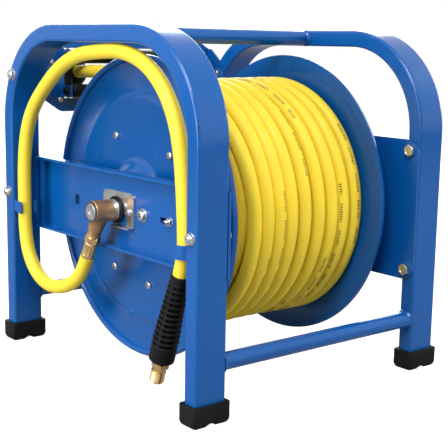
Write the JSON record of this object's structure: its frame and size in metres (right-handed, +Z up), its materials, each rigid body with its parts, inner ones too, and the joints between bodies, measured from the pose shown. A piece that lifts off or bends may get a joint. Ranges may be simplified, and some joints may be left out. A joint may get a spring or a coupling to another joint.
{
  "type": "spring-rewind hose reel",
  "caption": "Free-standing spring-rewind air hose reel in a bent tube frame, with swivel inlet, ratchet lock and roller guide.",
  "frame": {"origin": "on the floor, at the middle of the four feet", "axes": "+X along the axle from the swivel side to the spring side, +Y the way the hose pays out, +Z up"},
  "size_m": [0.383, 0.5625, 0.41],
  "materials": {
    "blue": "gloss",
    "rubber": "matte",
    "black_plastic": "satin",
    "hose": "satin",
    "brass": "satin",
    "zinc": "satin",
    "spring_steel": "satin"
  },
  "bodies": {
    "frame": {"near_arch": "blue", "far_arch": "blue", "top_crossbar": "blue", "front_crossbar": "blue", "rear_crossbar": "blue", "swivel_crossmember": "blue", "spring_side_plate": "blue", "spring_case": "blue", "spring_case_lid": "blue", "guide_plate": "blue", "hose_clips": "blue", "rubber_feet": "rubber", "inlet_restrictor": "rubber", "delivery_restrictor": "rubber", "ball_stopper": "rubber", "near_bush": "black_plastic", "far_bush": "black_plastic", "inlet_hose": "hose", "delivery_hose": "hose", "swivel_body": "brass", "swivel_nut": "brass", "hose_ferrule": "brass", "inlet_fitting": "brass", "delivery_fitting": "brass", "crossmember_bolts": "zinc", "crossmember_nuts": "zinc", "side_plate_bolts": "zinc", "side_plate_nuts": "zinc", "shaft_bracket": "zinc", "bracket_screw": "zinc", "pawl_bolt": "zinc", "spring_stud": "zinc", "guide_bolts": "zinc", "guide_nuts": "zinc", "guide_screws": "zinc", "roller_pins": "zinc", "roller_pin_caps": "zinc", "mainspring": "spring_steel", "pawl_spring": "spring_steel"},
    "drum": {"drum_shaft": "zinc", "swivel_spindle": "zinc", "swivel_seals": "rubber", "spindle_circlip": "spring_steel", "shaft_end_clip": "spring_steel", "near_flange": "blue", "far_flange": "blue", "drum_core": "blue", "ratchet_wheel": "zinc", "flange_screws": "zinc", "outlet_pipe": "zinc", "spring_arbor": "spring_steel", "hose_coil": "hose"},
    "pawl_body": {"pawl": "zinc"},
    "upper_roller_body": {"upper_roller": "black_plastic"},
    "lower_roller_body": {"lower_roller": "black_plastic"},
    "near_side_roller_body": {"near_side_roller": "black_plastic"},
    "far_side_roller_body": {"far_side_roller": "black_plastic"}
  },
  "joints": [
    {"name": "drum_spin", "type": "hinge", "parent": "frame", "child": "drum", "pos_m": [0, 0, 0.198], "axis": [1, 0, 0], "continuous": true},
    {"name": "pawl_swing", "type": "hinge", "parent": "frame", "child": "pawl_body", "pos_m": [-0.1315, -0.053, 0.198], "axis": [1, 0, 0], "range_deg": [0, 60]},
    {"name": "upper_roller_spin", "type": "hinge", "parent": "frame", "child": "upper_roller_body", "pos_m": [0, 0.188, 0.371], "axis": [1, 0, 0], "continuous": true},
    {"name": "lower_roller_spin", "type": "hinge", "parent": "frame", "child": "lower_roller_body", "pos_m": [0, 0.188, 0.326], "axis": [1, 0, 0], "continuous": true},
    {"name": "near_side_roller_spin", "type": "hinge", "parent": "frame", "child": "near_side_roller_body", "pos_m": [-0.09, 0.209, 0.349], "axis": [0, 0, 1], "continuous": true},
    {"name": "far_side_roller_spin", "type": "hinge", "parent": "frame", "child": "far_side_roller_body", "pos_m": [0.09, 0.209, 0.349], "axis": [0, 0, 1], "continuous": true}
  ]
}
